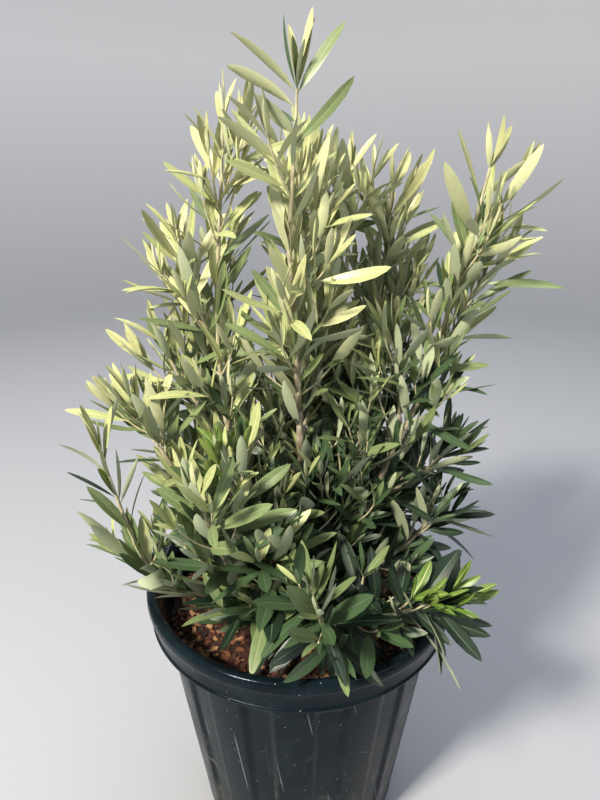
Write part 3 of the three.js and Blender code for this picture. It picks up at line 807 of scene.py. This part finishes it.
# Leaves stand straight on each limb, too, from this share of its length.
LIMB_BARE_SHARE = 0.55
LIMB_BARE = {"front_right": 0.35, "left_trailing": 0.4}
LIMB_BARE |= {"front_left": 0.25, "front_middle": 0.25}
LIMB_OWN = 5000
LEAF_SPACING = 0.0168
TOP_LEAF_SPACING = 0.022
LEAF_LENGTH = 0.060
LEAF_LENGTH_SWAY = 0.24
LEAF_WIDTH, LEAF_WIDTH_SWAY = 0.168, 0.16
LOW_LEAF_WIDTH = {"front_right": 1.3, "front_middle": 1.25}
LOW_LEAF_WIDTH |= {"right_lowest": 1.2, "front_left": 1.15}
LEAF_THICKNESS = 0.0005
OPEN_BASE, OPEN_TIP, OPEN_SWAY = 57, 24, 14
BUD_CLOSE = 9
OPENNESS = {"left_trailing": 0.55, "left_low": 0.8}
PAIR_TURN, TURN_SWAY = 90, 16
LEAF_LIFT = 0.16
LOW_LEAF_LIFT = {"front_right": -0.3, "right_lowest": -0.1, "front_middle": 0}
LEAF_ROLL = 44
LIGHT_FROM = np.array((-0.2, -0.35, 0.95))
LINE_FACING = 0.9
TIP_SHRINK = 0.36
TWIG_LEAF_SHARE = 0.88
BUD_SHRINK, BUD_NARROWING = 0.78, 0.74
BEND, BEND_SWAY, TWIST_SWAY = 4, 34, 30
FOLD, FOLD_SWAY, BUD_FOLD = 0.3, 0.3, 0.15
LAST_PAIR = 0.97
# Two top shoots stand clear of the crown, and from a share of their length their leaves are set one
# by one: share of the shoot, way, roll, length, width, and tone.
SET_FROM = {"leader": 0.4, "left_trailing": 0.3}
LEADER_LEAVES = (
    (0.42, (-0.64, -0.2, 0.74), -35, 0.068, 0.014, "sunned"),
    (0.48, (0.12, -0.3, 0.95), 30, 0.038, 0.0085, "grown"),
    (0.66, (0.72, -0.16, 0.62), -64, 0.062, 0.008, "grey"),
    (0.72, (-0.66, -0.2, 0.6), -70, 0.038, 0.012, "grown"),
    (0.8, (-0.5, 0.4, 0.1), 20, 0.024, 0.008, "grown"),
    (0.88, (-0.74, -0.1, 0.56), -60, 0.054, 0.0085, "sunned"),
    (0.97, (-0.68, -0.1, 0.62), -40, 0.056, 0.012, "sunned"),
    (0.96, (0.54, -0.06, 0.8), -60, 0.056, 0.0085, "grey"),
    (0.97, (-0.12, -0.24, 0.96), 10, 0.034, 0.0085, "grey"),
    (0.99, (0.33, 0.14, 0.93), 80, 0.048, 0.0045, "grey"),
    (0.99, (-0.34, 0.12, 0.94), 84, 0.05, 0.004, "grown"),
    (1, (0.1, -0.12, 0.98), 0, 0.044, 0.006, "tip"),
    (1, (0.26, 0.08, 0.96), -20, 0.048, 0.0065, "tip"),
    (1, (-0.06, 0.1, 0.98), -30, 0.042, 0.006, "tip"),
    (1, (0.04, -0.2, 0.97), 60, 0.03, 0.0045, "tip"),
)
TRAILING_LEAVES = (
    (0.36, (-0.8, -0.1, 0.55), -40, 0.036, 0.011, "grown"),
    (0.42, (0.34, 0.2, 0.9), 84, 0.044, 0.0045, "grown"),
    (0.45, (0.16, 0.1, 0.95), 80, 0.046, 0.0045, "grey"),
    (0.5, (-0.78, 0.1, 0.6), 85, 0.046, 0.0045, "deep"),
    (0.52, (-0.28, -0.2, 0.9), 0, 0.032, 0.009, "fresh"),
    (0.72, (-0.04, -0.2, 0.92), 0, 0.036, 0.009, "sunned"),
    (0.75, (-0.5, -0.1, 0.8), -70, 0.05, 0.0095, "grown"),
    (0.9, (0.1, 0.05, 0.97), 0, 0.048, 0.008, "sunned"),
    (0.92, (-0.28, -0.05, 0.94), -30, 0.052, 0.008, "tip"),
    (0.95, (0.2, 0.2, 0.95), 70, 0.054, 0.005, "grey"),
    (0.97, (-0.12, -0.15, 0.96), 20, 0.045, 0.007, "tip"),
    (1, (0.02, -0.05, 1), 0, 0.032, 0.005, "tip"),
)
SET_LEAVES = {"leader": LEADER_LEAVES, "left_trailing": TRAILING_LEAVES}
LEAF_APART = 0.0036
# Each leaf gives three points, and a new leaf is tested against this many of the latest.
LATEST_SPOTS = 600
CLEAR_OF_SOIL = 0.003
LIP_INSIDE, LIP_OUTSIDE, LIP_ABOVE = 0.013, 0.004, 0.003
# No leaf hangs farther out over the front than this.
FRONT_REACH = -0.197
CLEAR_OF_WOOD = 0.0008

# Half the width of a leaf along it, as a share of its greatest, from petiole to tip.
OUTLINE = [(0, 0), (0.02, 0.1), (0.07, 0.13), (0.2, 0.6), (0.38, 0.91)]
OUTLINE += [(0.58, 1.0), (0.78, 0.84), (0.93, 0.42), (1, 0)]
# Across a leaf's upper side: margin, blade, midrib, midrib, blade, margin.
ACROSS = (-1, -0.55, -0.055, 0.055, 0.55, 1)


def upper_face(line, along, roll):
    """Out of a leaf's upper face, which it turns inward and to the light."""
    face = line * LINE_FACING + LIGHT_FROM
    face = unit(face - along * face.dot(along))
    roll = math.radians(roll)
    return face * math.cos(roll) + np.cross(face, along) * math.sin(roll)


def clear_of_all(spots, placed, apart):
    """Whether a leaf's midline is clear of soil, pot and wood, and of the latest leaves."""
    from_axis = np.hypot(spots[:, 0], spots[:, 1])
    inside = from_axis < LIP_RADIUS - LIP_INSIDE
    over_soil = spots[:, 2] > soil_level(from_axis) + CLEAR_OF_SOIL
    above_lip = spots[:, 2] > POT_HEIGHT + LIP_ABOVE
    over_lip = above_lip | (from_axis > LIP_RADIUS + LIP_OUTSIDE)
    if not np.where(inside, over_soil, over_lip).all() or spots[:, 1].min() < FRONT_REACH:
        return False
    to_wood = np.linalg.norm(balls[:, None, :3] - spots[None, 1:], axis=2) - balls[:, 3:]
    if to_wood.min() < CLEAR_OF_WOOD:
        return False
    if not placed:
        return True
    near = np.array(placed[-LATEST_SPOTS:])
    return np.linalg.norm(near[:, None] - spots[None, 1:], axis=2).min() > apart


leafy = [stem[:6] for stem in stems]
for order, (name, route, *_) in enumerate(limbs):
    bare = LIMB_BARE.get(name, LIMB_BARE_SHARE)
    leafy.append((name, LIMB_OWN + order, 0, route, route_length(route), bare))

leaves = {name: [] for name, *_ in limbs}
placed = []


def grow_leaf(name, own, item, base, along, face, size, width, youth, bud=0, tone=None):
    """Adds a leaf with a bend, a twist and a fold of its own."""
    leaf = {"base": base, "along": along, "face": face, "size": size, "width": width}
    leaf["bend"] = math.radians(BEND_SWAY * sway(own, item, 10) + BEND)
    leaf["twist"] = math.radians(TWIST_SWAY * sway(own, item, 11))
    leaf["fold"] = FOLD + FOLD_SWAY * chance(own, item, 12) + BUD_FOLD * bud
    leaf["luck"] = sway(own, item, 13)
    leaves[name].append(leaf | {"youth": youth, "own": own, "tone": tone})


for name, own, twig, route, length, bare in leafy:
    top = own < len(limbs) and twig == 0
    spacing = TOP_LEAF_SPACING if top and own else LEAF_SPACING
    pairs = max(2, round(length * (1 - bare) / spacing))
    for pair in range(pairs + 2):
        share = bare + (LAST_PAIR - bare) * min(1, pair / pairs)
        bud = max(0, pair - pairs)
        if top and share > SET_FROM.get(name, 1):
            continue
        line = heading_on(route, share)
        base = point_on(route, share) + line * 0.002 * bud
        for half in (0, 1):
            item = twig * 100 + pair * 2 + half
            open_angle = OPEN_BASE + (OPEN_TIP - OPEN_BASE) * share**2.5 - BUD_CLOSE * bud
            open_angle *= OPENNESS.get(name, 1)
            open_angle += OPEN_SWAY * sway(own, item, 1) / (1 + bud)
            turn = 360 * chance(own, twig, 2) + pair * PAIR_TURN + half * 180
            along = branch_off(line, open_angle, turn + TURN_SWAY * sway(own, item, 3))
            along = unit(along + (UP - along) * LOW_LEAF_LIFT.get(name, LEAF_LIFT))
            face = upper_face(line, along, LEAF_ROLL * sway(own, item, 4))
            size = LEAF_LENGTH * (1 + LEAF_LENGTH_SWAY * sway(own, item, 5))
            twig_share = 1 if twig == 0 else TWIG_LEAF_SHARE
            size *= (1 - TIP_SHRINK * share**4) * BUD_SHRINK**bud * twig_share
            width = size * LEAF_WIDTH * LOW_LEAF_WIDTH.get(name, 1)
            width *= (1 + LEAF_WIDTH_SWAY * sway(own, item, 9)) * BUD_NARROWING**bud
            spots = base + along * size * np.array((0.12, 0.4, 0.7, 1))[:, None]
            if clear_of_all(spots, placed, LEAF_APART / (1 + 2 * bud)):
                placed.extend(spots[1:])
                youth = min(1, 0.8 * share + 0.15 * (twig > 0) + 0.2 * bud)
                grow_leaf(name, own, item, base, along, face, size, width, youth, bud)

for own, (name, part, route, *_) in enumerate(shoots):
    set_leaves = SET_LEAVES.get(name, ()) if part == "top" else ()
    for item, (share, way, roll, size, width, tone) in enumerate(set_leaves):
        along = unit(np.array(way))
        face = upper_face(heading_on(route, share), along, roll)
        base = point_on(route, share)
        grow_leaf(name, own, 300 + item, base, along, face, size, width, 1, tone=tone)

# One old leaf low on the trailing bough has dried and rolled up.
CURLED_LENGTH, CURLED_WIDTH = 0.048, 0.0155
CURLED_BEND = math.radians(210)
trailing = next(route for name, route, *_ in limbs if name == "left_trailing")
base = point_on(trailing, 0.85) + np.array((0.002, -0.003, 0.004))
along, face = unit(np.array((0.95, -0.1, 0.1))), unit(np.array((0.1, -0.95, 0)))
curled = dict(base=base, along=along, face=face, size=CURLED_LENGTH, width=CURLED_WIDTH)
curled |= dict(bend=CURLED_BEND, twist=0.2, fold=0.05, luck=0, youth=0.5, own=LIMB_OWN)
leaves["left_trailing"].append(curled | {"tone": "grey"})

# Olive leaf: a thick waxy skin above, dull silver scales below. Each tone is one plain colour
# with a faint mottling. Which tone a leaf gets is given by its age, and by painted light and shade
# from its height and its side: paler high up and to the left, darker low down to the right. The
# gloss is low.
UPPER_TONES = {"deep": "#1a2b1d", "grown": "#384d31", "grey": "#66774d"}
UPPER_TONES |= {"sunned": "#9ca470", "tip": "#abad7c", "fresh": "#55702a"}
UNDER_TONES = {"silver": "#9fa888", "young": "#b2b68c", "fresh": "#7b8c45"}
RIB_TONES = {"dark": "#4c5d47", "pale": "#858b60", "young": "#bcba88"}


def leaf_material(name, colour, roughness, mottling):
    material, tree, shader, place = new_material(name, Roughness=roughness, IOR=1.45)
    noise_sizes = {"Vector": place, "Scale": 260, "Detail": 4, "Roughness": 0.6}
    mottle = add(tree, "ShaderNodeTexNoise", noise_sizes)
    spots = add(tree, "ShaderNodeMapRange", {0: mottle, 1: 0.35, 2: 0.65, 4: mottling})
    tint = linear(colour)
    darker = (*[0.6 * channel for channel in tint[:3]], 1)
    mix = {0: spots, 6: tint, 7: darker}
    colour = add(tree, "ShaderNodeMix", mix, out=2, data_type="RGBA")
    surface(tree, shader, colour, mottle, 0.25, 0.0005)
    return material


leaf_materials = []
LEAF_LOOKS = ((UPPER_TONES, 0.42, 0.3), (UNDER_TONES, 0.75, 0.2), (RIB_TONES, 0.6, 0))
for tones, roughness, mottling in LEAF_LOOKS:
    for tone, colour in tones.items():
        leaf_materials.append(leaf_material("olive_leaf_" + tone, colour, roughness, mottling))
# For each upper tone, the numbers of the materials of its underside and of its midrib. These follow
# the painted light too: the darker deep and grown tones take the dark midrib, and the sunned
# and tip tones, painted as lit, take the paler young underside.
UNDERS = (6, 6, 6, 7, 7, 8)
RIBS = (9, 9, 10, 11, 10, 11)
# Scores at which a leaf passes from deep to grown, to grey, to sunned and to tip.
TONE_STEPS = (0.2, 0.4, 0.6, 0.84)
# How young a leaf on a limb's own shoots must be for the fresh tone.
FRESH_SHOOTS = {"front_left": 0.8, "front_right": 0.72, "left_trailing": 0.8}


def tone_of(leaf, limb_name):
    """The tone's number, from deep to tip, or fresh. Its score holds painted light and shade."""
    if leaf["tone"]:
        return list(UPPER_TONES).index(leaf["tone"])
    # Painted light and shade: the score rises with height, and it falls for leaves to the right,
    # most of all low down, while leaves to the left score paler.
    light = (leaf["base"][2] - 0.27) / 0.33
    sideways = leaf["base"][0]
    shade = 1.4 * max(0, sideways) * max(0, 1 - light) + 1.1 * sideways * max(0, 1.3 - light)
    score = 0.6 * light + 0.4 * leaf["youth"] + 0.18 * leaf["luck"] - shade
    if leaf["own"] < len(limbs) and leaf["youth"] > FRESH_SHOOTS.get(limb_name, 2):
        return 5
    return int(np.digitize(score, TONE_STEPS))


def leaf_piece(name, group, tones):
    """All leaves of one limb as one mesh. A leaf is a closed thin shell with its midrib set in."""
    vectors = [np.array([leaf[key] for leaf in group]) for key in ("base", "along", "face")]
    base, along, face = vectors
    size, width, bend, twist, fold = (
        np.array([leaf[key] for leaf in group])[:, None, None]
        for key in ("size", "width", "bend", "twist", "fold")
    )
    across = np.cross(face, along)[:, None]
    along, face = along[:, None], face[:, None]
    shares, halves = np.array(OUTLINE).T
    halves = halves[None, :, None]
    steps = np.diff(shares)[None, :, None]
    middles = ((shares[1:] + shares[:-1]) / 2)[None, :, None]
    way = np.cos(bend * middles) * along + np.sin(bend * middles) * face
    reach = np.cumsum(way * steps * size, axis=1)
    centre = np.concatenate([np.zeros_like(way[:, :1]), reach], axis=1) + base[:, None]
    place = shares[None, :, None]
    out = -np.sin(bend * place) * along + np.cos(bend * place) * face
    turn = twist * place
    sideways = np.cos(turn) * across + np.sin(turn) * out
    out = -np.sin(turn) * across + np.cos(turn) * out
    half_width = halves * width / 2
    columns = []
    for column in ACROSS:
        rise = half_width * (fold * abs(column) - 0.22 * abs(column) ** 3)
        columns.append(centre + sideways * half_width * column + out * rise)
    columns.append(centre - out * LEAF_THICKNESS * np.sqrt(halves))
    rings = np.stack(columns, axis=2)[:, 1:-1]
    count, ring_count, around = rings.shape[:3]
    ends = [centre[:, :1], centre[:, -1:]]
    vertices = np.concatenate([rings.reshape(count, -1, 3), *ends], axis=1)
    faces, kinds = [], []
    for column in range(around):
        after = (column + 1) % around
        kind = 2 if column == 2 else (1 if column >= 5 else 0)
        for ring in range(ring_count - 1):
            low, high = ring * around, (ring + 1) * around
            faces.append((low + column, low + after, high + after, high + column))
            kinds.append(kind)
        last = (ring_count - 1) * around
        foot, tip = ring_count * around, ring_count * around + 1
        faces += [(foot, after, column), (tip, last + column, last + after)]
        kinds += [kind, kind]
    per_leaf = vertices.shape[1]
    all_faces, slots = [], []
    for i, tone in enumerate(tones):
        all_faces += [tuple(i * per_leaf + v for v in each) for each in faces]
        slots += [(tone, UNDERS[tone], RIBS[tone])[kind] for kind in kinds]
    mesh = bpy.data.meshes.new(name)
    mesh.from_pydata(vertices.reshape(-1, 3).tolist(), [], all_faces)
    for material in leaf_materials:
        mesh.materials.append(material)
    mesh.polygons.foreach_set("material_index", np.array(slots, np.int32))
    mesh.shade_smooth()
    mesh.set_sharp_from_angle(angle=math.radians(70))
    return new_piece(name, mesh)


for limb_name, group in leaves.items():
    tones = [tone_of(leaf, limb_name) for leaf in group]
    piece = leaf_piece("leaves_" + limb_name, group, tones)
    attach(piece, "root")
    stood_for = masses[limb_name]
    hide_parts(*stood_for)


# ---- Studio ----
# A pale matt floor that curves up into a round backdrop, with painted light on it: darker on the
# floor, where the key light is strong, and paler up the backdrop, where the key light falls off. A
# large soft key light from the upper left in front, and two weaker fills.

FLOOR_RADIUS = 2.6
BACKDROP_HEIGHT = 4.2
BACKDROP_CURVE = 1.6
SWEEP_SEGMENTS = 96
AIM = Vector((0, 0, 0.4))

sweep = [(0, -0.004)] + [(r, -0.0005) for r in np.linspace(0.3, FLOOR_RADIUS, 6)]
for step in range(1, 13):
    angle = math.radians(90 * step / 12)
    out_at = FLOOR_RADIUS + BACKDROP_CURVE * math.sin(angle)
    sweep.append((out_at, BACKDROP_CURVE * (1 - math.cos(angle))))
sweep.append((FLOOR_RADIUS + BACKDROP_CURVE, BACKDROP_HEIGHT))
floor_points, floor_faces = [], []
for i, (radius, level) in enumerate(sweep):
    for j in range(SWEEP_SEGMENTS):
        turn = 2 * math.pi * j / SWEEP_SEGMENTS
        floor_points.append((radius * math.sin(turn), -radius * math.cos(turn), level))
        k = (j + 1) % SWEEP_SEGMENTS
        if i:
            low, high = (i - 1) * SWEEP_SEGMENTS, i * SWEEP_SEGMENTS
            floor_faces.append((low + j, high + j, high + k, low + k))
floor_mesh = bpy.data.meshes.new("studio_floor")
floor_mesh.from_pydata(floor_points, [], floor_faces)
floor_mesh.shade_smooth()
floor = new_piece("studio_floor", floor_mesh)
paper, tree, shader, place = new_material("pale_backdrop_paper", Roughness=0.95)
height = add(tree, "ShaderNodeSeparateXYZ", {"Vector": place}, out="Z")
# Painted light: the paper is darker at the floor and paler up the backdrop, to even out the key
# light's fall-off.
rise = add(tree, "ShaderNodeMapRange", {0: height, 1: 0.0, 2: 1.4})
mix = {0: rise, 6: linear("#9a9da3"), 7: linear("#d6d8dd")}
colour = add(tree, "ShaderNodeMix", mix, out=2, data_type="RGBA")
tree.links.new(colour, shader.inputs["Base Color"])
floor.data.materials.append(paper)

for name, location, size, power, colour in (
    ("key", (-1.3, -1.5, 2.1), 0.4, 165, "#fff6e6"),
    ("fill", (1.8, -1.6, 1.2), 1.6, 12, "#e8f0ff"),
    ("top", (0.3, 1.0, 2.8), 2.2, 40, "#f4f7ff"),
):
    light = new_piece(name, bpy.data.lights.new(name, "AREA"))
    light.data.size = size
    light.data.energy = power
    light.data.color = linear(colour)[:3]
    light.location = location
    light.rotation_euler = (AIM - light.location).to_track_quat("-Z", "Y").to_euler()
    light.visible_camera = False

world = bpy.data.worlds.new("studio")
world.use_nodes = True
background = world.node_tree.nodes["Background"].inputs
background["Color"].default_value = linear("#e6e9ee")
background["Strength"].default_value = 0.6
bpy.context.scene.world = world
bpy.context.scene.view_settings.view_transform = "Standard"
